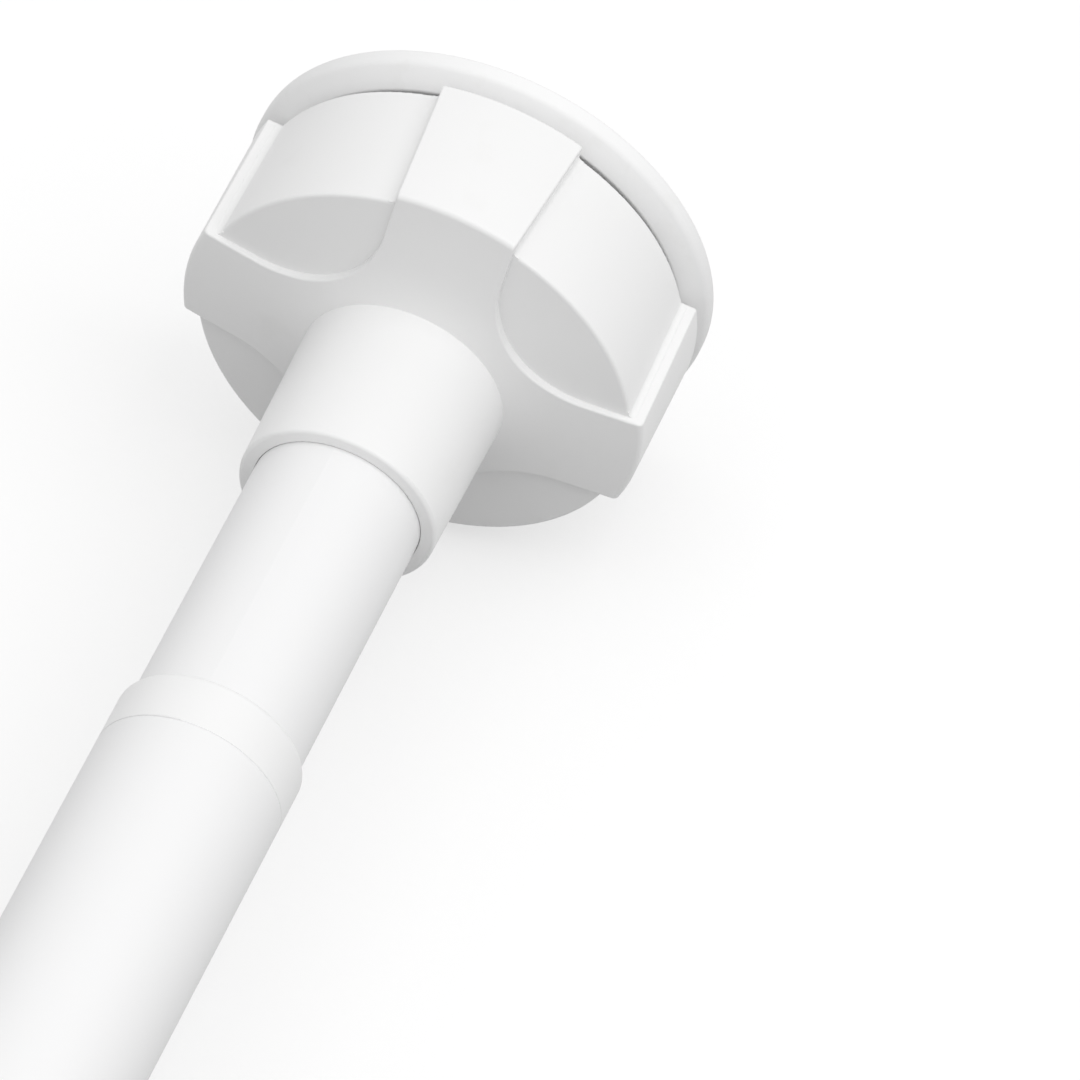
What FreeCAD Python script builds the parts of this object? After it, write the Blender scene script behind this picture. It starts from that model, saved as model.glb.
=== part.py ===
"""Spring tension rod: two telescoping tubes held between two walls by end discs.

The rod lies along X. The wall at the knob end is the plane X = 0 and the rod runs
towards -X, so the wall at the fixed end is the plane X = -span. Sizes are in mm.
In the end pieces u is the distance from that end's own wall, inwards.
"""
import FreeCAD, Part
import math
import os

# Overall length and tubes
span = 340.0
outer_tube_od = 25.0
outer_tube_wall = 0.5
tube_step = 1.1
inner_tube_wall = 0.5
mouth_to_wall = 98.9
tail_room = 100.0

# Clearances
running_gap = 0.05
press_gap = 0.01
play = 0.2
sleeve_gap = 0.5

# Drum with four lugs, the same at both ends
drum_r = 29.8
drum_wall = 2.4
lug_rise = 1.9
lug_count = 4
lug_turn = 12.1
lug_back_half = 9.7
lug_front_half = 8.1
edge_round = 0.8
small_round = 0.5
lug_round = 0.3
lug_root_round = 0.8
lug_root_sink = 0.03

# Knob: drum, cross-shaped face, collar and inner boss
knob_mouth_u = 5.5
lug_overhang = 0.4
knob_floor_u = 24.6
arm_rise = 0.5
cone_bend_rise = 2.3
cone_bend_out = 4.15
cone_bend_round = 40.0
cone_rise = 3.4
scoop_corner_r = 14.9
scoop_rise = 1.7
collar_wall = 1.95
collar_taper = 0.45
collar_end_u = 50.4
front_wall = 2.4
boss_wall = 2.05
boss_end_u = 6.9
stiffener_count = 8
stiffener_thick = 1.6
stiffener_set_back = 4.0

# Wall pad: soft disc with a rolled rim, a ring and a ribbed round field
knob_pad_overhang = 2.3
fixed_pad_overhang = 1.3
bead_round = 0.7
flare_start_u = 2.3
flare_round = 1.2
flare_end_u = 4.5
flare_set_in = 1.0
channel_u = 3.4
channel_width = 1.8
land_width = 0.7
bead_depth = 1.9
groove_depth = 1.2
groove_set_in = 2.2
groove_round = 3.0
ring_depth = 0.9
ring_set_in = 5.2
field_depth = 2.0
field_set_in = 6.6
pad_skin = 1.3
pad_lip = 0.8
lip_width = 3.0
neck_gap = 1.2
neck_wall = 1.2
rib_leg = 4.2
rib_slant = 17.0
rib_width = 0.9
rib_end_round = 0.25
rib_height = 0.5
rib_column = 6.65
rib_row = 4.87
rib_margin = 0.8
rib_least_share = 0.4

# Pad base and the swivel between it and the knob
base_thick = 2.0
hub_wall = 2.0
washer_thick = 1.3
washer_width = 4.3
journal_length = 5.0
ring_clip_thick = 1.0
ring_clip_rise = 0.6
ring_clip_groove = 0.6
ring_clip_gap = 6.0
hub_tail = 0.9

# Adjusting screw: bolt held by the inner tube, nut held by the knob
bolt_nut_ring = 3.5
bolt_end_u = 8.0
hex_nut_clearance = 2.4
adjusting_nut_thick = 8.0
bolt_head_thick = 6.4
bolt_play = 0.6
plug_flange = 1.0
plug_clearance = 1.4
bolt_plug_length = 14.0
cross_pin_r = 1.5
nut_seat_u = 17.4

# Spring and rod inside the inner tube
spring_press_travel = 20.0
small_nut_ring = 2.0
small_nut_clearance = 2.7
small_nut_thick = 5.0
guide_length = 18.0
cup_length = 9.0
cup_skirt = 4.5
cup_wall = 1.2
spring_length = 56.0
spring_turns = 8.0
spring_wire = 1.3
stop_length = 10.0

# Twist lock inside the outer tube
core_flange_thick = 4.0
core_clearance = 6.0
cam_width = 12.0
cam_offset = 0.9
cam_ring_wall = 4.5
cam_twist = 40.0
cam_slack = 0.04
cam_split = 3.0

# Guide bush at the outer tube's mouth
bush_flange = 7.5
bush_skirt = 14.0
bush_round = 0.95
seam_round = 0.15

# Fixed end: cap, base, screw and plug
cap_mouth_u = 2.2
cap_back_u = 22.0
cap_cone_rise = 2.4
cap_draft = 0.4
cap_lug_set_back = 1.5
cap_lug_drop = 0.3
cap_lug_back_half = 7.6
cap_lug_pad_half = 8.0
cap_socket_wall = 2.5
cap_web = 2.2
cap_hub_r = 10.0
cap_hub_length = 2.3
end_plug_length = 17.0
cap_screw_r = 2.0
cap_screw_head_r = 4.2
cap_screw_head = 2.2
cap_screw_length = 20.0
cap_washer_thick = 0.8
cap_washer_r = 4.5

# Worked out from the values above
outer_tube_r = outer_tube_od / 2
outer_tube_bore = outer_tube_r - outer_tube_wall
inner_tube_r = outer_tube_r - tube_step
inner_tube_bore = inner_tube_r - inner_tube_wall
inner_tube_end = span - tail_room
lug_r = drum_r + lug_rise
neck_r = drum_r - drum_wall - neck_gap
base_r = neck_r - neck_wall
knob_pad_r = drum_r + knob_pad_overhang
fixed_pad_r = drum_r + fixed_pad_overhang
field_r = drum_r - field_set_in
rib_field_r = field_r - rib_margin
base_front_u = field_depth + pad_skin
base_back_u = base_front_u + base_thick
clip_seat_u = boss_end_u + journal_length + play
hex_nut_flats = 2 * (inner_tube_bore - hex_nut_clearance)
bolt_r = hex_nut_flats / 2 - bolt_nut_ring
bolt_hub_bore = bolt_r + bolt_play
hub_r = bolt_hub_bore + hub_wall
bolt_plug_u = knob_floor_u + plug_clearance
tube_start_u = bolt_plug_u + plug_flange
sliding_bore = inner_tube_r + running_gap
collar_tip_r = sliding_bore + collar_wall
collar_root_r = collar_tip_r + collar_taper
cone_bend_r = collar_root_r + cone_bend_out
boss_r = sliding_bore + boss_wall
cup_r = inner_tube_bore - sleeve_gap
coil_r = cup_r - cup_wall - play - spring_wire / 2
small_nut_flats = 2 * (coil_r - spring_wire / 2 - small_nut_clearance)
spring_rod_r = small_nut_flats / 2 - small_nut_ring
cam_journal_r = outer_tube_bore - cam_ring_wall
core_front_x = -(inner_tube_end + plug_flange + spring_press_travel + core_clearance)
cam_front_x = core_front_x - core_flange_thick - play
cam_back_x = cam_front_x - cam_width
core_back_x = cam_back_x - play - core_flange_thick
guide_front_x = -(inner_tube_end - guide_length)
cup_back_x = guide_front_x + play
cup_front_x = cup_back_x + cup_length
spring_back_x = cup_front_x - cup_skirt + play
spring_front_x = spring_back_x + spring_length
stop_back_x = spring_front_x + play
cap_web_u = base_back_u + cap_hub_length
outer_tube_end_u = cap_web_u + cap_web
long_reach = 4 * drum_r


def at_knob(u):
    """X of a place u inwards from the wall at the knob end."""
    return -u


def at_fixed(u):
    """X of a place u inwards from the wall at the fixed end."""
    return u - span


def corner_points(before, corner, after, radius):
    """Start, middle and end of the arc that rounds one corner of an outline."""
    into = (before - corner).normalize()
    out = (after - corner).normalize()
    half = math.acos(max(-1.0, min(1.0, into.dot(out)))) / 2
    reach = radius / math.tan(half)
    centre = corner + (into + out).normalize() * (radius / math.sin(half))
    middle = centre + (corner - centre).normalize() * radius
    return corner + into * reach, middle, corner + out * reach


def rounded_outline(corners):
    """Closed flat outline through corners (a, b, radius), in the XY plane."""
    points = [FreeCAD.Vector(a, b, 0) for a, b, radius in corners]
    count = len(points)
    stations = []
    for i, (a, b, radius) in enumerate(corners):
        if radius == 0:
            stations.append((points[i], None, points[i]))
            continue
        stations.append(corner_points(points[i - 1], points[i], points[(i + 1) % count], radius))
    edges = []
    for i, (start, middle, end) in enumerate(stations):
        if middle is not None:
            edges.append(Part.Arc(start, middle, end).toShape())
        following = stations[(i + 1) % count][0]
        if (following - end).Length > 1e-6:
            edges.append(Part.LineSegment(end, following).toShape())
    return Part.Wire(edges)


def turned(corners, where=None):
    """Solid of revolution about X from section corners (place, radius, rounding)."""
    place = where or (lambda x: x)
    outline = rounded_outline([(place(a), r, rounding) for a, r, rounding in corners])
    solid = Part.Face(outline).revolve(FreeCAD.Vector(), FreeCAD.Vector(1, 0, 0), 360)
    return upright(solid)


def upright(solid):
    """The same solid with its faces looking outwards."""
    if solid.Volume < 0:
        solid.reverse()
    return solid


def bar(x0, x1, radius):
    """Round bar along X between two places."""
    low = min(x0, x1)
    return Part.makeCylinder(radius, abs(x1 - x0), FreeCAD.Vector(low, 0, 0), FreeCAD.Vector(1, 0, 0))


def pipe(x0, x1, outer, inner):
    """Round tube along X between two places."""
    return bar(x0, x1, outer).cut(bar(x0 - 1, x1 + 1, inner) if x0 < x1 else bar(x1 - 1, x0 + 1, inner))


def hexagon(x0, x1, flats):
    """Hexagonal prism along X between two places."""
    corner_r = flats / math.sqrt(3)
    low = min(x0, x1)
    points = []
    for i in range(6):
        angle = math.radians(60 * i)
        points.append(FreeCAD.Vector(low, corner_r * math.cos(angle), corner_r * math.sin(angle)))
    face = Part.Face(Part.makePolygon(points + points[:1]))
    return face.extrude(FreeCAD.Vector(abs(x1 - x0), 0, 0))


def turn_about_x(shape, angle):
    """Copy of a shape turned about the rod's axis."""
    copy = shape.copy()
    copy.rotate(FreeCAD.Vector(), FreeCAD.Vector(1, 0, 0), angle)
    return copy


def around(shape, count, first):
    """Copies of a shape spaced evenly about the rod's axis."""
    return [turn_about_x(shape, first + 360.0 * i / count) for i in range(count)]


def one_solid(shape):
    """The single solid of a boolean result, with split faces joined again."""
    return shape.removeSplitter().Solids[0]


def band(place, first, last, outer_r, last_round):
    """Part of a ring on the drum, straight out along +Y, between two (u, half width)."""
    (first_u, first_half), (last_u, last_half) = first, last
    inside = drum_r - drum_wall / 2
    section = [(first_u, outer_r, lug_round), (last_u, outer_r, last_round)]
    section += [(last_u, inside, 0), (first_u, inside, 0)]
    corners = [(first_u, first_half), (last_u, last_half), (last_u, -last_half), (first_u, -first_half)]
    points = [FreeCAD.Vector(place(u), drum_r / 2, z) for u, z in corners]
    wedge = Part.Face(Part.makePolygon(points + points[:1])).extrude(FreeCAD.Vector(0, long_reach, 0))
    return Part.Solid(turned(section, place).common(wedge).Solids[0])


def lug(place, outer_r, pad_end, tube_end, drum_pad_u, drum_tube_u):
    """One raised lug with rounded long edges and hollow fillets along its foot."""
    raised = softened_lug(band(place, pad_end, tube_end, outer_r, edge_round), outer_r)
    taper = (tube_end[1] - pad_end[1]) / (tube_end[0] - pad_end[0])
    ends = []
    for u in (drum_pad_u, drum_tube_u):
        ends.append((u, pad_end[1] + taper * (u - pad_end[0])))
    return [raised, lug_foot(place, ends[0], ends[1])]


def lug_foot(place, first, last):
    """Low band under a lug, whose sides are hollowed so that they blend into the drum."""
    reach = lug_root_round
    widened = [(u, half + reach) for u, half in (first, last)]
    foot = band(place, widened[0], widened[1], drum_r + reach, reach)
    for side in (-1, 1):
        centres = []
        for u, half in (first, last):
            z = side * (half + reach)
            centre_r = drum_r + reach - lug_root_sink
            centres.append(FreeCAD.Vector(place(u), math.sqrt(centre_r ** 2 - z ** 2), z))
        along = (centres[1] - centres[0]).normalize()
        start = centres[0] - along * reach
        foot = foot.cut(Part.makeCylinder(reach, (centres[1] - centres[0]).Length + 2 * reach, start, along))
    return foot


def softened_lug(solid, outer_r):
    """The lug with its two long outer edges rounded."""
    long_edges = []
    for edge in solid.Edges:
        ends = [math.hypot(v.Y, v.Z) for v in edge.Vertexes]
        along = len(edge.Vertexes) == 2 and abs(edge.Vertexes[0].X - edge.Vertexes[1].X) > lug_rise
        if along and min(ends) > outer_r - lug_round / 10:
            long_edges.append(edge)
    return solid.makeFillet(lug_round, long_edges)


def cross_face():
    """Cross on the knob's floor: four slightly hollow arms with round inner corners."""
    a = lug_front_half
    outline = []
    for quarter in range(4):
        c = round(math.cos(math.pi * quarter / 2))
        s = round(math.sin(math.pi * quarter / 2))
        for p, q, radius in ((long_reach, -a, 0), (long_reach, a, 0), (a, a, scoop_corner_r)):
            outline.append((c * p - s * q, s * p + c * q, radius))
    plate = Part.Face(rounded_outline(outline))
    plate.rotate(FreeCAD.Vector(), FreeCAD.Vector(0, 1, 0), 90)
    plate.translate(FreeCAD.Vector(at_knob(collar_end_u), 0, 0))
    arms = plate.extrude(FreeCAD.Vector(collar_end_u, 0, 0))
    rim_u = knob_floor_u + arm_rise
    root_u = knob_floor_u + cone_rise
    buried_u = knob_floor_u - front_wall / 2
    section = [
        (buried_u, sliding_bore, 0), (root_u, sliding_bore, 0), (root_u, collar_root_r, 0),
        (knob_floor_u + cone_bend_rise, cone_bend_r, cone_bend_round), (rim_u, lug_r, edge_round),
        (buried_u, lug_r, 0),
    ]
    return turn_about_x(soft_top(turned(section, at_knob).common(arms)), lug_turn)


def soft_top(cross):
    """The cross with the side edges of its top face rounded."""
    top_edges = []
    for edge in cross.Edges:
        middle = edge.valueAt((edge.FirstParameter + edge.LastParameter) / 2)
        start = edge.valueAt(edge.FirstParameter)
        middle_r = math.hypot(middle.y, middle.z)
        level = abs(middle_r - math.hypot(start.y, start.z)) + abs(middle.x - start.x) < 1e-4
        high = -middle.x > knob_floor_u and middle_r > collar_root_r + play
        if high and not level:
            top_edges.append(edge)
    return cross.makeFillet(lug_round, top_edges)


def stiffeners(place, inner_r, low_u, high_u):
    """Radial stiffening plates between the inner boss and the drum's wall."""
    reach = drum_r - drum_wall / 2 - inner_r
    low_x = min(place(low_u), place(high_u))
    corner = FreeCAD.Vector(low_x, inner_r, -stiffener_thick / 2)
    plate = Part.makeBox(high_u - low_u, reach, stiffener_thick, corner)
    return around(plate, stiffener_count, lug_turn + 180.0 / stiffener_count)


def adjusting_knob():
    """One moulding: hollow drum, four lugs, cross face, collar and inner boss."""
    inner_r = drum_r - drum_wall
    back_u = knob_floor_u - front_wall
    journal_end_u = boss_end_u + journal_length
    clip_room_r = hub_r + ring_clip_rise + play
    bore_end_u = bolt_plug_u - 2 * play
    section = [
        (collar_end_u, sliding_bore, seam_round), (collar_end_u, collar_tip_r, small_round),
        (knob_floor_u + scoop_rise, collar_root_r, 0), (knob_floor_u, drum_r, small_round),
        (knob_mouth_u, drum_r, seam_round), (knob_mouth_u, inner_r, small_round),
        (back_u, inner_r, edge_round), (back_u, boss_r, edge_round),
        (boss_end_u, boss_r, small_round), (boss_end_u, hub_r + running_gap, 0),
        (journal_end_u, hub_r + running_gap, 0), (journal_end_u, clip_room_r, 0),
        (bore_end_u, clip_room_r, 0), (bore_end_u, sliding_bore, 0),
    ]
    body = turned(section, at_knob)
    pocket = hexagon(at_knob(nut_seat_u), at_knob(bore_end_u), hex_nut_flats + 2 * press_gap)
    pad_end = (knob_mouth_u - lug_overhang, lug_back_half)
    front_end = (knob_floor_u + arm_rise, lug_front_half)
    pieces = [cross_face()]
    for piece in lug(at_knob, lug_r, pad_end, front_end, knob_mouth_u, knob_floor_u):
        pieces += around(piece, lug_count, lug_turn)
    plates_u = (knob_mouth_u + stiffener_set_back, back_u + small_round)
    pieces += stiffeners(at_knob, boss_r - small_round, plates_u[0], plates_u[1])
    return one_solid(body.fuse(pieces).cut(pocket))


def chevron():
    """Outline of one shallow rib with its peak at the origin, in the XY plane."""
    slant = math.radians(rib_slant)
    across = rib_width / 2 / math.cos(slant)
    end_a = rib_leg * math.cos(slant)
    end_b = rib_leg * math.sin(slant)
    soft = rib_end_round
    corners = [(-end_a, -end_b - across, soft), (0, -across, 0), (end_a, -end_b - across, soft)]
    corners += [(end_a, -end_b + across, soft), (0, across, 0), (-end_a, -end_b + across, soft)]
    return Part.Face(rounded_outline(corners))


def rib_field(place):
    """All ribs of one pad, in half-dropped columns, without the scraps at the field's edge."""
    rib = chevron()
    rib.rotate(FreeCAD.Vector(), FreeCAD.Vector(0, 1, 0), 90)
    rib.rotate(FreeCAD.Vector(), FreeCAD.Vector(1, 0, 0), 90)
    low_x = min(place(field_depth + rib_height), place(field_depth - rib_height))
    rib.translate(FreeCAD.Vector(low_x, 0, 0))
    block = rib.extrude(FreeCAD.Vector(2 * rib_height, 0, 0))
    columns = math.ceil(rib_field_r / rib_column)
    rows = math.ceil(rib_field_r / rib_row)
    ribs = []
    for i in range(-columns, columns + 1):
        drop = rib_row / 2 if i % 2 == 0 else 0.0
        for j in range(-rows, rows + 1):
            copy = block.copy()
            copy.translate(FreeCAD.Vector(0, i * rib_column, j * rib_row + drop))
            ribs.append(copy)
    round_field = bar(place(0), place(base_front_u), rib_field_r)
    cropped = Part.makeCompound(ribs).common(round_field).Solids
    kept = [piece for piece in cropped if piece.Volume > rib_least_share * block.Volume]
    return turn_about_x(Part.makeCompound(kept), lug_turn)


def wall_pad(place, rim_r, back):
    """Soft pad: ribbed dish, rolled rim and a lip that grips the base disc."""
    cavity_r = base_r + press_gap
    lip_u = base_back_u + pad_lip
    lip_r = back[-1][1]
    front = [
        (field_depth, 0, 0), (field_depth, field_r, bead_round),
        (ring_depth, drum_r - ring_set_in, bead_round),
        (groove_depth, drum_r - groove_set_in, groove_round),
        (0, rim_r - bead_round - 2 * land_width, bead_round), (0, rim_r, bead_round),
    ]
    inside = [
        (lip_u, lip_r, small_round), (lip_u, base_r - lip_width, 0), (base_back_u, base_r - lip_width, 0),
        (base_back_u, cavity_r, 0), (base_front_u, cavity_r, 0), (base_front_u, 0, 0),
    ]
    body = turned(front + back + inside, place)
    return one_solid(body.fuse(rib_field(place).Solids))


def knob_end_pad():
    """Wall pad of the knob end: its back flares out to the rim behind a deep channel."""
    back = [
        (flare_start_u, knob_pad_r, flare_round), (flare_end_u, drum_r - flare_set_in, small_round),
        (channel_u, neck_r + channel_width, small_round), (channel_u, neck_r, small_round),
    ]
    return wall_pad(at_knob, knob_pad_r, back)


def fixed_end_pad():
    """Wall pad of the fixed end, with a rounded rim that closes the cap."""
    sleeve_r = drum_r - drum_wall - sleeve_gap
    back = [(bead_depth, fixed_pad_r, bead_round), (bead_depth, sleeve_r, 0)]
    return wall_pad(at_fixed, fixed_pad_r, back)


def knob_end_pad_base():
    """Disc inside the pad with the hollow hub that the knob turns on."""
    groove_u = clip_seat_u - press_gap
    hub_end_u = clip_seat_u + ring_clip_thick + hub_tail
    disc = bar(at_knob(base_front_u), at_knob(base_back_u), base_r)
    hub = bar(at_knob(base_back_u), at_knob(hub_end_u), hub_r)
    bore = bar(at_knob(base_back_u), at_knob(hub_end_u), bolt_hub_bore)
    groove_end_u = groove_u + ring_clip_thick + 2 * press_gap
    groove = pipe(at_knob(groove_end_u), at_knob(groove_u), hub_r + play, hub_r - ring_clip_groove)
    return one_solid(disc.fuse(hub).cut(bore).cut(groove))


def thrust_washer():
    """Washer between the pad's base and the end of the knob's boss."""
    first_u = base_back_u + play / 2
    return pipe(at_knob(first_u + washer_thick), at_knob(first_u), hub_r + washer_width, hub_r + play)


def retaining_ring():
    """Open snap ring in the hub's groove that keeps the knob on its hub."""
    back_x = at_knob(clip_seat_u + ring_clip_thick)
    outer = hub_r + ring_clip_rise
    ring = pipe(back_x, at_knob(clip_seat_u), outer, hub_r - ring_clip_groove + press_gap)
    corner = FreeCAD.Vector(back_x, 0, -ring_clip_gap / 2)
    return ring.cut(Part.makeBox(ring_clip_thick, outer, ring_clip_gap, corner))


def adjusting_nut():
    """Hexagon nut held in the knob's pocket."""
    low = at_knob(nut_seat_u + adjusting_nut_thick)
    nut = hexagon(low, at_knob(nut_seat_u), hex_nut_flats)
    return nut.cut(bar(low, at_knob(nut_seat_u), bolt_r + running_gap))


def cross_hole(x):
    """Cutter for a cross pin through a tube, along Y."""
    start = FreeCAD.Vector(x, -outer_tube_od, 0)
    return Part.makeCylinder(cross_pin_r + press_gap, 2 * outer_tube_od, start, FreeCAD.Vector(0, 1, 0))


def cross_pin(x):
    """Pin across the inner tube whose ends stay just under its surface."""
    half = inner_tube_r - play
    start = FreeCAD.Vector(x, -half, 0)
    return Part.makeCylinder(cross_pin_r, 2 * half, start, FreeCAD.Vector(0, 1, 0))


def plug_pin_x():
    """Place of the pin through the bolt's plug."""
    return at_knob(tube_start_u + (bolt_plug_length - bolt_head_thick) / 2)


def stop_pin_x():
    """Place of the pin through the spring stop."""
    return stop_back_x + stop_length / 2


def guide_pin_x():
    """Place of the pin through the rod guide, clear of the rod."""
    return guide_front_x - guide_length / 2


def bolt_plug():
    """Plug in the inner tube's end that holds the bolt's head."""
    end_u = tube_start_u + bolt_plug_length
    plug = bar(at_knob(tube_start_u), at_knob(end_u), inner_tube_bore - press_gap)
    flange = bar(at_knob(bolt_plug_u), at_knob(tube_start_u), inner_tube_r)
    bore = bar(at_knob(0), at_knob(end_u), bolt_r + press_gap)
    pocket = hexagon(at_knob(end_u - bolt_head_thick), at_knob(end_u), hex_nut_flats + 2 * press_gap)
    return one_solid(plug.fuse(flange).cut(bore).cut(pocket).cut(cross_hole(plug_pin_x())))


def adjusting_bolt():
    """Hexagon bolt that the knob's nut runs on."""
    end_u = tube_start_u + bolt_plug_length
    head = hexagon(at_knob(end_u - bolt_head_thick), at_knob(end_u), hex_nut_flats)
    shank = bar(at_knob(bolt_end_u), at_knob(end_u - bolt_head_thick), bolt_r)
    return one_solid(shank.fuse(head).cut(cross_hole(plug_pin_x())))


def inner_tube():
    """Thin tube that carries the knob end and slides in the outer tube."""
    tube = pipe(-inner_tube_end, at_knob(tube_start_u), inner_tube_r, inner_tube_bore)
    for x in (plug_pin_x(), stop_pin_x(), guide_pin_x()):
        tube = tube.cut(cross_hole(x))
    return tube


def spring_stop():
    """Pinned plug that the spring pushes against."""
    plug = bar(stop_back_x, stop_back_x + stop_length, inner_tube_bore - press_gap)
    return plug.cut(cross_hole(stop_pin_x()))


def compression_spring():
    """Helical spring between the stop and the cup on the rod."""
    half = spring_wire / 2
    rise = spring_length - spring_wire
    helix = Part.makeHelix(rise / spring_turns, rise, coil_r)
    corners = [(-half, -half), (half, -half), (half, half), (-half, half)]
    points = [FreeCAD.Vector(coil_r + a, 0, b) for a, b in corners]
    profile = Part.makePolygon(points + points[:1])
    coil = Part.Wire(helix).makePipeShell([profile], True, True)
    coil.rotate(FreeCAD.Vector(), FreeCAD.Vector(0, 1, 0), 90)
    coil.translate(FreeCAD.Vector(spring_back_x + half, 0, 0))
    return upright(coil)


def spring_cup():
    """Cup on the rod's end that presses the spring."""
    section = [
        (cup_back_x, spring_rod_r + press_gap, 0), (cup_back_x, cup_r, small_round),
        (cup_front_x, cup_r, small_round), (cup_front_x, cup_r - cup_wall, 0),
        (cup_front_x - cup_skirt, cup_r - cup_wall, 0),
        (cup_front_x - cup_skirt, spring_rod_r + press_gap, 0),
    ]
    return turned(section)


def small_nut(x):
    """Hexagon nut on the spring rod, with its low face at X = x."""
    nut = hexagon(x, x + small_nut_thick, small_nut_flats)
    return nut.cut(bar(x, x + small_nut_thick, spring_rod_r + press_gap))


def spring_rod():
    """Steel rod from the spring cup through the guide to the lock core."""
    front = cup_front_x - cup_skirt + small_nut_thick
    shaft = bar(core_back_x - small_nut_thick, front, spring_rod_r)
    collar = bar(core_front_x, core_front_x + plug_flange, spring_rod_r + hub_wall)
    return one_solid(shaft.fuse(collar))


def rod_guide():
    """Pinned plug in the inner tube's tail that guides the spring rod."""
    flange_r = outer_tube_bore - 2 * running_gap
    plug = bar(-inner_tube_end, guide_front_x, inner_tube_bore - press_gap)
    flange = bar(-inner_tube_end - plug_flange, -inner_tube_end, flange_r)
    bore = bar(-inner_tube_end - plug_flange, guide_front_x, spring_rod_r + running_gap)
    return one_solid(plug.fuse(flange).cut(bore).cut(guide_pin_holes()))


def guide_pin_holes():
    """Two short cross holes in the guide, one on each side of the rod."""
    clear = bar(-inner_tube_end, guide_front_x, spring_rod_r + hub_wall)
    return cross_hole(guide_pin_x()).cut(clear)


def guide_pins():
    """Two short pins that hold the guide in the tube, clear of the rod."""
    clear = bar(-inner_tube_end, guide_front_x, spring_rod_r + hub_wall)
    return Part.makeCompound(cross_pin(guide_pin_x()).cut(clear).Solids)


def cam_axis_bar(x0, x1, radius):
    """Round bar whose axis lies off the rod's axis by the lock's offset."""
    piece = bar(x0, x1, radius)
    piece.translate(FreeCAD.Vector(0, 0, cam_offset))
    return piece


def cam_core():
    """Lock core: two round flanges joined by an off-centre journal."""
    flange_r = outer_tube_bore - sleeve_gap
    front = bar(core_front_x - core_flange_thick, core_front_x, flange_r)
    back = bar(core_back_x, core_back_x + core_flange_thick, flange_r)
    journal_ends = (core_back_x + core_flange_thick, core_front_x - core_flange_thick)
    journal = cam_axis_bar(journal_ends[0], journal_ends[1], cam_journal_r)
    bore = bar(core_back_x, core_front_x, spring_rod_r + press_gap)
    return one_solid(journal.fuse([front, back]).cut(bore))


def cam_ring():
    """Split ring that wedges in the outer tube when it turns on the core."""
    swing = 2 * cam_offset * math.sin(math.radians(cam_twist / 2))
    bore = cam_axis_bar(cam_back_x, cam_front_x, cam_journal_r + swing + cam_slack)
    ring = bar(cam_back_x, cam_front_x, outer_tube_bore - 2 * running_gap).cut(bore)
    low = FreeCAD.Vector(cam_back_x, -cam_split / 2, -outer_tube_r)
    return ring.cut(Part.makeBox(cam_width, cam_split, outer_tube_r, low))


def guide_bush():
    """Sleeve in the outer tube's mouth with a visible round-edged collar."""
    mouth = -mouth_to_wall
    skirt_r = outer_tube_bore - press_gap
    section = [
        (mouth - bush_skirt, sliding_bore, 0), (mouth + bush_flange, sliding_bore, 0),
        (mouth + bush_flange, outer_tube_r, bush_round), (mouth, outer_tube_r, seam_round),
        (mouth, skirt_r, 0), (mouth - bush_skirt, skirt_r, 0),
    ]
    return turned(section)


def outer_tube():
    """Wider tube that carries the fixed end."""
    end = at_fixed(outer_tube_end_u)
    section = [(end, outer_tube_bore, 0), (end, outer_tube_r, 0)]
    section += [(-mouth_to_wall, outer_tube_r, seam_round), (-mouth_to_wall, outer_tube_bore, 0)]
    return turned(section)


def outer_end_plug():
    """Plug inside the outer tube's end that takes the cap's screw."""
    end_u = outer_tube_end_u + end_plug_length
    plug = bar(at_fixed(outer_tube_end_u), at_fixed(end_u), outer_tube_bore - press_gap)
    return plug.cut(bar(at_fixed(outer_tube_end_u), at_fixed(end_u), cap_screw_r + press_gap))


def fixed_end_cap():
    """One moulding: hollow drum with four lugs, conical back and tube socket."""
    inner_r = drum_r - drum_wall
    socket_r = outer_tube_r + press_gap
    socket_wall_r = socket_r + cap_socket_wall
    back_u = cap_back_u - front_wall
    section = [
        (cap_mouth_u, drum_r + cap_draft, lug_round), (cap_back_u, drum_r, edge_round),
        (cap_back_u + cap_cone_rise, socket_r + cap_socket_wall / 2, small_round),
        (cap_back_u + cap_cone_rise, socket_r, 0), (outer_tube_end_u, socket_r, 0),
        (outer_tube_end_u, cap_screw_r + play, 0), (cap_web_u, cap_screw_r + play, 0),
        (cap_web_u, socket_wall_r, small_round), (back_u, socket_wall_r, edge_round),
        (back_u, inner_r, edge_round), (cap_mouth_u, inner_r, 0),
    ]
    body = turned(section, at_fixed)
    pad_end = (cap_mouth_u + cap_lug_set_back, cap_lug_pad_half)
    back_end = (cap_back_u, cap_lug_back_half)
    pieces = stiffeners(at_fixed, socket_wall_r - small_round, cap_web_u, back_u + small_round)
    for piece in lug(at_fixed, lug_r - cap_lug_drop, pad_end, back_end, pad_end[0], cap_back_u - small_round):
        pieces += around(piece, lug_count, lug_turn)
    return one_solid(body.fuse(pieces))


def fixed_end_pad_base():
    """Disc inside the pad, screwed through its hub to the cap's web."""
    seat_u = cap_web_u - cap_hub_length / 2
    disc = bar(at_fixed(base_front_u), at_fixed(base_back_u), base_r)
    hub = bar(at_fixed(base_back_u), at_fixed(cap_web_u), cap_hub_r)
    counterbore = bar(at_fixed(base_front_u), at_fixed(seat_u), cap_washer_r + play)
    hole = bar(at_fixed(base_front_u), at_fixed(cap_web_u), cap_screw_r + play)
    return one_solid(disc.fuse(hub).cut(counterbore).cut(hole))


def cap_washer():
    """Washer under the head of the cap's screw."""
    seat_u = cap_web_u - cap_hub_length / 2
    return pipe(at_fixed(seat_u - cap_washer_thick), at_fixed(seat_u), cap_washer_r, cap_screw_r + play)


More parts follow.
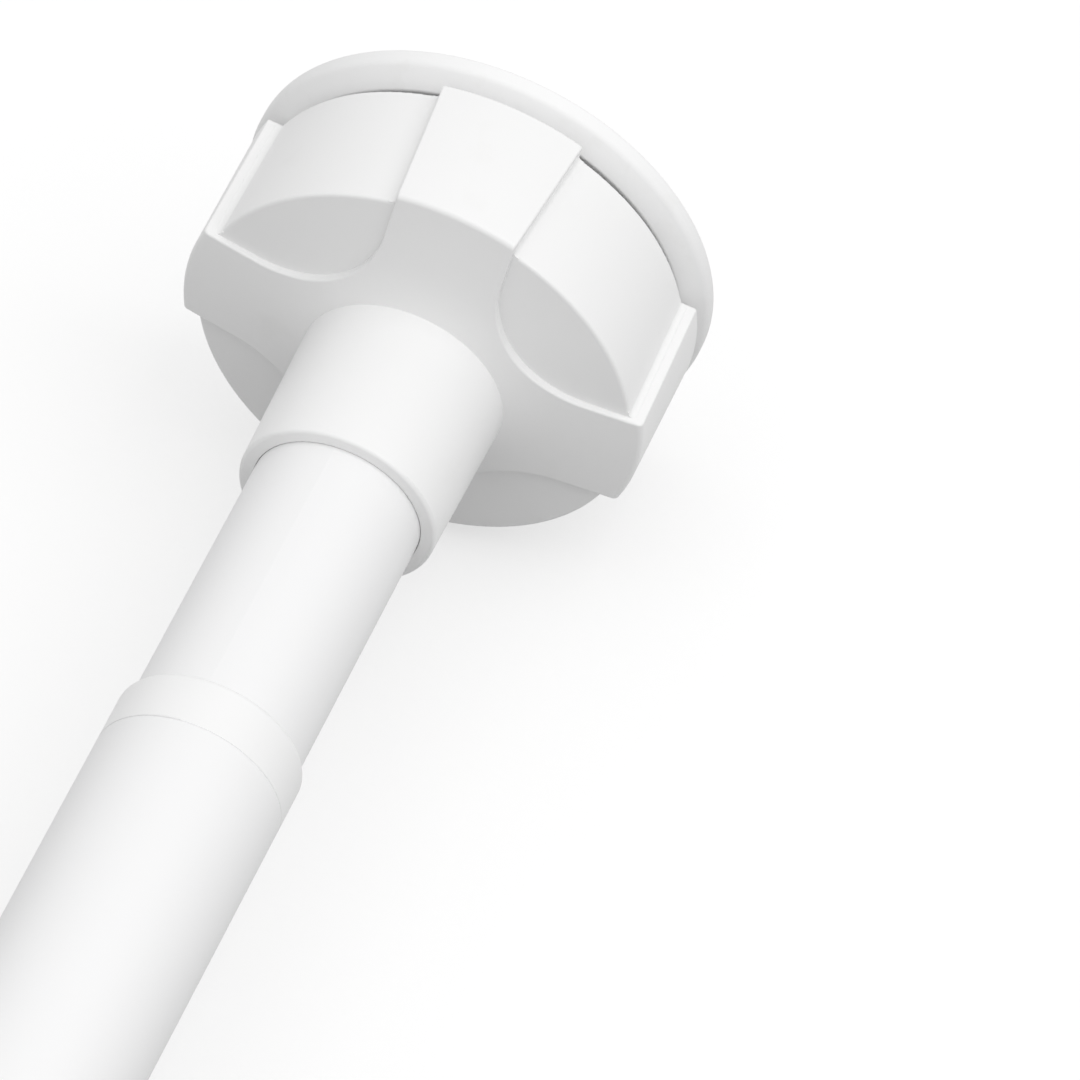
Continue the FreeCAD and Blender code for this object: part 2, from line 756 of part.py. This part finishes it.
def cap_screw():
    """Pan-headed screw through base and cap into the tube's plug."""
    head_u = cap_web_u - cap_hub_length / 2 - cap_washer_thick
    section = [
        (head_u - cap_screw_head, 0, 0), (head_u - cap_screw_head, cap_screw_head_r, edge_round),
        (head_u, cap_screw_head_r, 0), (head_u, cap_screw_r, 0),
        (head_u + cap_screw_length, cap_screw_r, small_round), (head_u + cap_screw_length, 0, 0),
    ]
    return turned(section, at_fixed)


def all_nodes():
    """Every piece by its node name."""
    return {
        "knob_end_pad": knob_end_pad(),
        "knob_end_pad_base": knob_end_pad_base(),
        "thrust_washer": thrust_washer(),
        "retaining_ring": retaining_ring(),
        "adjusting_knob": adjusting_knob(),
        "adjusting_nut": adjusting_nut(),
        "adjusting_bolt": adjusting_bolt(),
        "bolt_plug": bolt_plug(),
        "bolt_plug_pin": cross_pin(plug_pin_x()),
        "inner_tube": inner_tube(),
        "spring_stop": spring_stop(),
        "spring_stop_pin": cross_pin(stop_pin_x()),
        "compression_spring": compression_spring(),
        "spring_cup": spring_cup(),
        "spring_cup_nut": small_nut(cup_front_x - cup_skirt),
        "spring_rod": spring_rod(),
        "rod_guide": rod_guide(),
        "rod_guide_pins": guide_pins(),
        "lock_core": cam_core(),
        "lock_core_nut": small_nut(core_back_x - small_nut_thick),
        "lock_ring": cam_ring(),
        "guide_bush": guide_bush(),
        "outer_tube": outer_tube(),
        "outer_end_plug": outer_end_plug(),
        "fixed_end_cap": fixed_end_cap(),
        "fixed_end_pad_base": fixed_end_pad_base(),
        "cap_washer": cap_washer(),
        "cap_screw": cap_screw(),
        "fixed_end_pad": fixed_end_pad(),
    }


def main():
    """Write one file for each piece."""
    os.makedirs("parts", exist_ok=True)
    for name, shape in all_nodes().items():
        print(name, len(shape.Solids), shape.isValid(), round(shape.Volume, 1))
        shape.exportStep(os.path.join("parts", name + ".step"))


main()
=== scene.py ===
"""Looks of the spring tension rod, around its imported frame. Lengths are in metres."""
import math

import bpy
from mathutils import Matrix, Vector


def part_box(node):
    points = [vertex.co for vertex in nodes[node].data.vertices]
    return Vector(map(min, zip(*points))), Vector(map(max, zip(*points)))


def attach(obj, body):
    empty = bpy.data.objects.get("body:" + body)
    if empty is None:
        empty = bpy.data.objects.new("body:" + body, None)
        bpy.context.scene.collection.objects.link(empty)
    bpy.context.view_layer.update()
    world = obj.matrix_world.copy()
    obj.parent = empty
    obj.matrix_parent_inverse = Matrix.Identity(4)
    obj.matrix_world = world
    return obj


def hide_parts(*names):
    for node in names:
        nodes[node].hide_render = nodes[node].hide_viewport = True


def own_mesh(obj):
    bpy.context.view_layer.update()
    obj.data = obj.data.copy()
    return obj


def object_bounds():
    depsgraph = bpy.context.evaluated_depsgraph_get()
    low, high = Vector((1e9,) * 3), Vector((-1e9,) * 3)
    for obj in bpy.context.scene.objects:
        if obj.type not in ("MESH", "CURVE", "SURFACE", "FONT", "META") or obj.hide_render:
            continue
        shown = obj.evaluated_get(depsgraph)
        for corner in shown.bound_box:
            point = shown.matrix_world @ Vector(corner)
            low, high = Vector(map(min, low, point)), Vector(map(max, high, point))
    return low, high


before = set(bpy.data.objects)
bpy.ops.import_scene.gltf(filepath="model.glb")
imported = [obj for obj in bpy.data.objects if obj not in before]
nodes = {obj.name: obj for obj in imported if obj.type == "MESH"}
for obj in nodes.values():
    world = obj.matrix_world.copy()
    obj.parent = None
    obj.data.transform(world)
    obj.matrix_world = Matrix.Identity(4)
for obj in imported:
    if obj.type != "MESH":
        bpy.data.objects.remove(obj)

packed_low, packed_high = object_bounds()


# White moulded plastic: the knob and the fixed end's cap. Both are injection moulded in
# satin white, with a fine spark grain from the mould, slow flow marks around the gate and
# a few dull rubs from handling.
class Signal:
    """One output in a shader tree, so that sums on it are written as Python."""

    def __init__(self, owner, socket):
        self.owner = owner
        self.socket = socket

    def math(self, operation, first, second):
        return self.owner.add("ShaderNodeMath", {"operation": operation}, {0: first, 1: second})

    def __add__(self, other):
        return self.math("ADD", self, other)

    def __radd__(self, other):
        return self.math("ADD", other, self)

    def __sub__(self, other):
        return self.math("SUBTRACT", self, other)

    def __rsub__(self, other):
        return self.math("SUBTRACT", other, self)

    def __mul__(self, other):
        return self.math("MULTIPLY", self, other)

    def __rmul__(self, other):
        return self.math("MULTIPLY", other, self)


class ShaderTree:
    """A tree of shader nodes, which are all added by one method."""

    def __init__(self, tree):
        self.tree = tree

    def add(self, kind, settings, sockets, output=0):
        node = self.tree.nodes.new(kind)
        for name, value in settings.items():
            setattr(node, name, value)
        for name, value in sockets.items():
            self.join(node.inputs[name], value)
        return Signal(self, node.outputs[output])

    def join(self, socket, value):
        if isinstance(value, Signal):
            self.tree.links.new(value.socket, socket)
        else:
            socket.default_value = value

    def place(self):
        return self.add("ShaderNodeTexCoord", {}, {}, "Object")

    def stretched(self, along, across):
        return self.add("ShaderNodeMapping", {}, {"Vector": self.place(), "Scale": (along, across, across)})

    def noise(self, scale, detail, vector=None):
        sockets = {"Vector": vector or self.place(), "Scale": scale, "Detail": detail}
        return self.add("ShaderNodeTexNoise", {}, sockets)

    def rubs(self, scale, least):
        """Sparse patches from 0 to 1, where a slow noise rises over a level."""
        soft_edge = 0.12
        sockets = {0: self.noise(scale, 4.0), 1: least, 2: least + soft_edge}
        return self.add("ShaderNodeMapRange", {"interpolation_type": "SMOOTHSTEP"}, sockets)

    def blend_colours(self, amount, first, second):
        settings = {"data_type": "RGBA"}
        return self.add("ShaderNodeMix", settings, {0: amount, 6: first, 7: second}, 2)

    def bump(self, height, distance, strength):
        return self.add("ShaderNodeBump", {}, {"Height": height, "Distance": distance, "Strength": strength})


class Finish(ShaderTree):
    """A material: what is the same all over is given at the start, and the rest varies."""

    def __init__(self, name, constants):
        self.material = bpy.data.materials.new(name)
        self.material.use_nodes = True
        super().__init__(self.material.node_tree)
        self.shader = self.tree.nodes["Principled BSDF"]
        for socket, value in constants.items():
            self.shader.inputs[socket].default_value = value

    def vary(self, socket, value):
        self.join(self.shader.inputs[socket], value)


def dress(material, *names):
    """Gives CAD nodes one material in every slot."""
    for name in names:
        mesh = nodes[name].data
        if not mesh.materials:
            mesh.materials.append(material)
        for i in range(len(mesh.materials)):
            mesh.materials[i] = material


def satin_moulding():
    finish = Finish("satin_white_moulding", {"Specular IOR Level": 0.45})
    flow = finish.noise(38.0, 2.0)
    grain = finish.noise(3200.0, 3.0)
    rubs = finish.rubs(95.0, 0.60)
    clean = finish.blend_colours(flow, (0.858, 0.858, 0.856, 1), (0.882, 0.882, 0.882, 1))
    finish.vary("Base Color", finish.blend_colours(0.35 * rubs, clean, (0.84, 0.838, 0.832, 1)))
    finish.vary("Roughness", 0.36 + 0.08 * flow + 0.06 * grain + 0.10 * rubs)
    finish.vary("Normal", finish.bump(grain, 0.00002, 0.20))
    return finish.material


dress(satin_moulding(), "adjusting_knob", "fixed_end_cap")


# Soft wall pads, one at each end: a dull white elastomer disc with a rolled, dished rim, a
# small step and a round field of raised diamond studs that grip paint and tile. Each grips a
# hard base disc by its inner lip, and the knob end's flares out behind its rim.
mm = 0.001
span = 340.0
drum_r = 29.8
knob_rim_r = drum_r + 2.3
fixed_rim_r = drum_r + 1.3
field_depth = 2.0
ring_depth = 1.43
step_inner_r = drum_r - 5.45
step_outer_r = drum_r - 4.85
skin_depth = 3.3
lip_depth = 6.1
stud_field_r = 22.4
stud_half_width = 4.08
stud_half_height = 1.39
stud_soften = 0.3
stud_edge = 0.12
stud_rise = 0.77
stud_root = 0.3
stud_column = 6.65
stud_row = 4.87
pattern_turn = math.radians(12.1)
least_share = 0.3
spin_steps = 160
arc_step = math.radians(15)
smooth_below = math.radians(35)
doubled_below = 0.002


def soft_corners(corners):
    """Points of an outline in (depth, radius), from its corners (depth, radius, rounding)."""
    points = []
    count = len(corners)
    for i, (depth, radius, rounding) in enumerate(corners):
        here = Vector((depth, radius))
        if rounding == 0:
            points.append(here)
            continue
        into = (Vector(corners[i - 1][:2]) - here).normalized()
        out = (Vector(corners[(i + 1) % count][:2]) - here).normalized()
        half = into.angle(out) / 2
        middle = here + (into + out).normalized() * (rounding / math.sin(half))
        start = here + into * (rounding / math.tan(half)) - middle
        end = here + out * (rounding / math.tan(half)) - middle
        steps = max(3, math.ceil(start.angle(end) / arc_step))
        for step in range(steps + 1):
            share = step / steps
            blend = (start * (1 - share) + end * share).normalized()
            points.append(middle + blend * rounding)
    return points


def spun_solid(name, corners, wall_x, inward):
    """A turned piece: its outline is drawn by extruding one point, then spun about the rod's axis."""
    places = [Vector((wall_x + inward * p.x * mm, 0, p.y * mm)) for p in soft_corners(corners)]
    bpy.ops.object.select_all(action="DESELECT")
    bpy.ops.mesh.primitive_plane_add(size=mm, location=places[0])
    solid = bpy.context.object
    solid.name = name
    bpy.ops.object.transform_apply(location=True, rotation=True, scale=True)
    bpy.ops.object.mode_set(mode="EDIT")
    bpy.ops.mesh.select_all(action="SELECT")
    bpy.ops.mesh.merge(type="CENTER")
    for before, after in zip(places, places[1:]):
        bpy.ops.mesh.extrude_region_move(TRANSFORM_OT_translate={"value": after - before})
    bpy.ops.mesh.select_all(action="SELECT")
    bpy.ops.mesh.spin(steps=spin_steps, angle=2 * math.pi, center=(0, 0, 0), axis=(1, 0, 0))
    bpy.ops.mesh.select_all(action="SELECT")
    bpy.ops.mesh.remove_doubles(threshold=doubled_below * mm)
    bpy.ops.mesh.normals_make_consistent(inside=False)
    bpy.ops.object.mode_set(mode="OBJECT")
    bpy.ops.object.shade_smooth_by_angle(angle=smooth_below)
    return solid


def stud_outline(x):
    """Flat outline of one grip stud: a diamond across the pad with softened corners."""
    bpy.ops.object.select_all(action="DESELECT")
    bpy.ops.mesh.primitive_circle_add(
        vertices=4, radius=mm, fill_type="NGON", location=(x, 0, 0), rotation=(0, math.pi / 2, 0)
    )
    outline = bpy.context.object
    outline.scale = (stud_half_height, stud_half_width, 1)
    bpy.ops.object.transform_apply(location=True, rotation=True, scale=True)
    bpy.ops.object.mode_set(mode="EDIT")
    bpy.ops.mesh.select_all(action="SELECT")
    bpy.ops.mesh.bevel(offset=stud_soften * mm, segments=3, affect="VERTICES")
    bpy.ops.object.mode_set(mode="OBJECT")
    return outline


def share_inside(centre):
    """Share of a stud around a place that lies in the round field."""
    steps = 6
    inside = []
    for i in range(-steps, steps + 1):
        for j in range(abs(i) - steps, steps - abs(i) + 1):
            point = centre + Vector((i / steps * stud_half_width, j / steps * stud_half_height))
            inside.append(point.length < stud_field_r)
    return sum(inside) / len(inside)


def crop_round(stud, angle):
    """Cuts a stud's outline back to the field's edge, by short straight cuts along it."""
    bpy.context.view_layer.update()
    bpy.ops.object.select_all(action="DESELECT")
    stud.select_set(True)
    bpy.context.view_layer.objects.active = stud
    bpy.ops.object.mode_set(mode="EDIT")
    cuts_each_way = 4
    cut_turn = math.radians(3.0)
    for step in range(-cuts_each_way, cuts_each_way + 1):
        turn = angle + cut_turn * step
        outwards = Vector((0, math.cos(turn), math.sin(turn)))
        bpy.ops.mesh.select_all(action="SELECT")
        bpy.ops.mesh.bisect(plane_co=outwards * stud_field_r * mm, plane_no=outwards, clear_outer=True)
    bpy.ops.object.mode_set(mode="OBJECT")


def stud_outlines(x):
    """All outlines of one pad's studs, in half-dropped columns cropped by the round field."""
    outline = stud_outline(x)
    columns = math.ceil(stud_field_r / stud_column)
    rows = math.ceil(stud_field_r / stud_row)
    turned = Matrix.Rotation(pattern_turn, 4, "X")
    studs = []
    for column in range(-columns, columns + 1):
        drop = stud_row / 2 if column % 2 == 0 else 0.0
        for row in range(-rows, rows + 1):
            centre = Vector((column * stud_column, row * stud_row + drop))
            share = share_inside(centre)
            if share < least_share:
                continue
            stud = outline.copy()
            stud.data = outline.data.copy()
            stud.matrix_world = turned @ Matrix.Translation((0, centre.x * mm, centre.y * mm))
            bpy.context.scene.collection.objects.link(stud)
            if share < 1:
                crop_round(stud, math.atan2(centre.y, centre.x) + pattern_turn)
            studs.append(stud)
    bpy.data.objects.remove(outline)
    return studs


def studded_pad(name, corners, wall_x, inward):
    """A wall pad with its field of studs, as one piece."""
    pad = spun_solid(name, corners, wall_x, inward)
    studs = stud_outlines(wall_x + inward * (field_depth + stud_root) * mm)
    bpy.ops.object.select_all(action="DESELECT")
    for stud in studs:
        stud.select_set(True)
    bpy.context.view_layer.objects.active = studs[0]
    bpy.ops.object.join()
    bpy.ops.object.mode_set(mode="EDIT")
    bpy.ops.mesh.select_all(action="SELECT")
    rise = (-inward * (stud_root + stud_rise) * mm, 0, 0)
    bpy.ops.mesh.extrude_region_move(TRANSFORM_OT_translate={"value": rise})
    bpy.ops.mesh.bevel(offset=stud_edge * mm, segments=2, affect="EDGES", clamp_overlap=True)
    bpy.ops.mesh.select_all(action="SELECT")
    bpy.ops.mesh.remove_doubles(threshold=doubled_below * mm)
    bpy.ops.mesh.normals_make_consistent(inside=False)
    bpy.ops.object.mode_set(mode="OBJECT")
    pad.select_set(True)
    bpy.context.view_layer.objects.active = pad
    bpy.ops.object.join()
    return pad


def soft_elastomer():
    finish = Finish("soft_white_elastomer", {"Specular IOR Level": 0.35})
    cloud = finish.noise(60.0, 2.0)
    grain = finish.noise(1900.0, 4.0)
    dust = finish.rubs(240.0, 0.57)
    clean = finish.blend_colours(cloud, (0.88, 0.88, 0.88, 1), (0.9, 0.9, 0.9, 1))
    finish.vary("Base Color", finish.blend_colours(0.3 * dust, clean, (0.84, 0.838, 0.83, 1)))
    finish.vary("Roughness", 0.50 + 0.12 * grain + 0.08 * dust)
    finish.vary("Normal", finish.bump(grain, 0.00003, 0.22))
    return finish.material


def pad_front(rim_r):
    """Corners of a pad's front: its field, the step, the flat ring and the dished rim."""
    return [
        (field_depth, 0, 0), (field_depth, step_inner_r, 0.6), (ring_depth, step_outer_r, 0.6),
        (ring_depth, rim_r - 1.65, 2.5), (0, rim_r - 0.65, 0.25), (0, rim_r, 0.5),
    ]


def pad_inside(lip_r):
    """Corners of a pad's inside, from its lip round the base's edge to the middle of its skin."""
    lip_thickness = 0.8
    lip_inner_r = 22.0
    seat_r = 25.01
    return [
        (lip_depth, lip_r, 0.5), (lip_depth, lip_inner_r, 0.2), (lip_depth - lip_thickness, lip_inner_r, 0),
        (lip_depth - lip_thickness, seat_r, 0), (skin_depth, seat_r, 0), (skin_depth, 0, 0),
    ]


elastomer = soft_elastomer()
knob_lip_r = 26.2
flare = [(2.3, knob_rim_r, 1.2), (4.5, drum_r - 1.0, 0.5), (3.4, 28.0, 0.5), (3.4, knob_lip_r, 0.5)]
knob_corners = pad_front(knob_rim_r) + flare + pad_inside(knob_lip_r)
knob_pad = studded_pad("knob_end_soft_pad", knob_corners, 0.0, -1)
knob_pad.data.materials.append(elastomer)
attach(knob_pad, "knob_end_wall_pad")
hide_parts("knob_end_pad")

fixed_lip_r = 26.9
rolled = [(1.9, fixed_rim_r, 0.7), (1.9, fixed_lip_r, 0)]
fixed_corners = pad_front(fixed_rim_r) + rolled + pad_inside(fixed_lip_r)
fixed_pad = studded_pad("fixed_end_soft_pad", fixed_corners, -span * mm, 1)
fixed_pad.data.materials.append(elastomer)
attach(fixed_pad, "outer_tube_group")
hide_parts("fixed_end_pad")


# The two tubes: thin welded steel tube, powder coated in smooth white. The coat has a faint
# orange peel, drawn out a little along the tube, and lies in an even satin gloss.
def powder_coat():
    finish = Finish("white_powder_coat", {"Specular IOR Level": 0.45, "Coat Roughness": 0.35})
    peel = finish.noise(420.0, 2.0, finish.stretched(0.55, 1.0))
    cloud = finish.noise(22.0, 2.0, finish.stretched(0.4, 1.0))
    slides = finish.noise(900.0, 2.0, finish.stretched(0.03, 1.0))
    finish.vary("Base Color", finish.blend_colours(cloud, (0.858, 0.858, 0.86, 1), (0.88, 0.88, 0.882, 1)))
    finish.vary("Roughness", 0.44 + 0.08 * cloud + 0.05 * slides)
    finish.vary("Coat Weight", 0.04 + 0.05 * cloud)
    finish.vary("Normal", finish.bump(peel, 0.00004, 0.14))
    return finish.material


dress(powder_coat(), "inner_tube", "outer_tube")


# Guide bush at the outer tube's mouth: a smooth white acetal sleeve, pressed in up to its
# collar, that the inner tube slides through.
def acetal():
    finish = Finish("smooth_white_acetal", {"Specular IOR Level": 0.45})
    flow = finish.noise(80.0, 2.0)
    slides = finish.noise(1100.0, 2.0, finish.stretched(0.05, 1.0))
    finish.vary("Base Color", finish.blend_colours(flow, (0.862, 0.862, 0.86, 1), (0.884, 0.884, 0.884, 1)))
    finish.vary("Roughness", 0.36 + 0.08 * flow + 0.05 * slides)
    return finish.material


dress(acetal(), "guide_bush")


# Hidden mouldings in natural nylon: bases, plugs, spring cup, guide and lock. They are the
# colour of the plain granulate, slightly cloudy.
def natural_nylon():
    finish = Finish("natural_nylon", {"Specular IOR Level": 0.4})
    flow = finish.noise(70.0, 3.0)
    grain = finish.noise(2400.0, 2.0)
    finish.vary("Base Color", finish.blend_colours(flow, (0.74, 0.73, 0.68, 1), (0.80, 0.79, 0.74, 1)))
    finish.vary("Roughness", 0.42 + 0.12 * flow)
    finish.vary("Normal", finish.bump(grain, 0.00002, 0.15))
    return finish.material


dress(
    natural_nylon(), "knob_end_pad_base", "thrust_washer", "bolt_plug", "spring_stop", "spring_cup",
    "rod_guide", "lock_core", "lock_ring", "outer_end_plug", "fixed_end_pad_base",
)


# Hidden steel: bolt, nuts, pins, rod, snap ring, screw and washer, bright zinc plated, with
# the cloudy grain that barrel plating leaves. The spring below has the same finish.
def zinc_plate():
    finish = Finish("zinc_plated_steel", {})
    cloud = finish.noise(180.0, 3.0)
    grain = finish.noise(1300.0, 3.0)
    finish.vary("Base Color", finish.blend_colours(cloud, (0.55, 0.56, 0.58, 1), (0.66, 0.67, 0.68, 1)))
    finish.vary("Metallic", 0.95 + 0.05 * cloud)
    finish.vary("Roughness", 0.28 + 0.12 * cloud + 0.08 * grain)
    return finish.material


bright_zinc = zinc_plate()
dress(
    bright_zinc, "retaining_ring", "adjusting_nut", "adjusting_bolt", "bolt_plug_pin", "spring_stop_pin",
    "spring_cup_nut", "spring_rod", "rod_guide_pins", "lock_core_nut", "cap_washer", "cap_screw",
)


# Compression spring, hidden in the inner tube: a coil of round wire in the place of the
# packed one, wound at one fixed length. The real spring shortens towards its front end as the tubes are
# pressed together.
spring_low, spring_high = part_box("compression_spring")
spring_length = spring_high.x - spring_low.x
wire_r = 0.65 * mm
wire_sides = 10
spring_turns = 8
steps_a_turn = 28
wire_start = (spring_low.x + wire_r, 0, spring_high.z - wire_r)
bpy.ops.object.select_all(action="DESELECT")
bpy.ops.mesh.primitive_circle_add(
    vertices=wire_sides, radius=wire_r, location=wire_start, rotation=(math.pi / 2, 0, 0)
)
coil = bpy.context.object
coil.name = "wound_spring"
bpy.ops.object.transform_apply(location=True, rotation=True, scale=True)
winding = coil.modifiers.new("winding", "SCREW")
winding.axis = "X"
winding.angle = 2 * math.pi * spring_turns
winding.screw_offset = spring_length - 2 * wire_r
winding.steps = steps_a_turn * spring_turns
winding.render_steps = winding.steps
winding.use_normal_calculate = True
bpy.ops.object.modifier_apply(modifier="winding")
bpy.ops.object.mode_set(mode="EDIT")
bpy.ops.mesh.select_all(action="SELECT")
bpy.ops.mesh.fill_holes(sides=wire_sides)
bpy.ops.mesh.select_all(action="SELECT")
bpy.ops.mesh.normals_make_consistent(inside=False)
bpy.ops.object.mode_set(mode="OBJECT")
bpy.ops.object.shade_smooth_by_angle(angle=math.radians(50))
coil.data.materials.append(bright_zinc)
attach(coil, "inner_tube_group")
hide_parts("compression_spring")
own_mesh(coil)


# Floor: a large white sheet that the pads' rims just touch. The camera and mirror-like
# surfaces see it as paper white, and the rod's shadow stays on it.
def seen_share(tree):
    """1 for what the camera sees, straight, mirrored or through glass, and 0 for plain light."""
    straight = tree.add("ShaderNodeLightPath", {}, {}, "Is Camera Ray")
    mirrored = tree.add("ShaderNodeLightPath", {}, {}, "Is Glossy Ray")
    through = tree.add("ShaderNodeLightPath", {}, {}, "Is Transmission Ray")
    return straight + mirrored + through


def paper_white():
    grey = 0.4
    constants = {"Base Color": (grey, grey, grey, 1), "Roughness": 0.9, "Specular IOR Level": 0.1}
    finish = Finish("paper_white", constants)
    glow = finish.add("ShaderNodeEmission", {}, {"Color": (1, 1, 1, 1), "Strength": 1 - grey})
    sheet = Signal(finish, finish.shader.outputs[0])
    lifted = finish.add("ShaderNodeAddShader", {}, {0: sheet, 1: glow})
    mixed = finish.add("ShaderNodeMixShader", {}, {0: seen_share(finish), 1: sheet, 2: lifted})
    finish.join(finish.tree.nodes["Material Output"].inputs["Surface"], mixed)
    return finish.material


bpy.ops.object.select_all(action="DESELECT")
floor_gap = 0.2 * mm
bpy.ops.mesh.primitive_plane_add(size=8.0, location=(-0.2, 0, packed_low.z - floor_gap))
floor = bpy.context.object
floor.name = "studio_floor"
bpy.ops.object.transform_apply(location=True, rotation=False, scale=False)
floor.data.materials.append(paper_white())


# Studio light: an even white room, a broad soft lamp high on the rod's right side, as the
# camera sees it, and a weaker one overhead. The room itself shows as white.
room = bpy.data.worlds.new("studio_room")
room.use_nodes = True
room_light = 0.72
room_tree = ShaderTree(room.node_tree)
background = room_tree.tree.nodes["Background"]
levels = {"Value": seen_share(room_tree), "To Min": room_light, "To Max": 1.0}
room_tree.join(background.inputs["Color"], (1, 1, 1, 1))
room_tree.join(background.inputs["Strength"], room_tree.add("ShaderNodeMapRange", {}, levels))
bpy.context.scene.world = room


def soft_lamp(name, place, target, size, power):
    """A square area lamp at a place, which faces a target."""
    data = bpy.data.lights.new(name, "AREA")
    data.size = size
    data.energy = power
    lamp = bpy.data.objects.new(name, data)
    lamp.location = place
    lamp.rotation_euler = (Vector(target) - Vector(place)).to_track_quat("-Z", "Y").to_euler()
    bpy.context.scene.collection.objects.link(lamp)


rod_middle = (-0.15, 0, 0)
soft_lamp("high_right_lamp", (-0.15, -0.9, 1.3), rod_middle, size=1.2, power=8.0)
soft_lamp("overhead_lamp", (-0.15, 0.0, 1.6), rod_middle, size=1.2, power=3.2)


# Camera: a long lens that looks down on the rod, aimed so that the knob end stands as in
# the photograph. The rod runs away from the camera towards the upper right.
forward = Vector((0.6033, 0.2354, -0.7620)).normalized()
right = Vector((0.3635, -0.9316, 0.0)).normalized()
up = right.cross(forward)
camera_place = Vector((-0.74033, -0.29683, 0.87672))
image_side = 1080
lens_in_pixels = 9143
camera_data = bpy.data.cameras.new("photo_camera")
camera_data.sensor_width = 36.0
camera_data.lens = camera_data.sensor_width * lens_in_pixels / image_side
camera_data.clip_start = 0.05
camera_data.clip_end = 20.0
camera = bpy.data.objects.new("photo_camera", camera_data)
camera.matrix_world = Matrix.Translation(camera_place) @ Matrix((right, up, -forward)).transposed().to_4x4()
bpy.context.scene.collection.objects.link(camera)
bpy.context.scene.camera = camera

bpy.context.scene.view_settings.view_transform = "Standard"
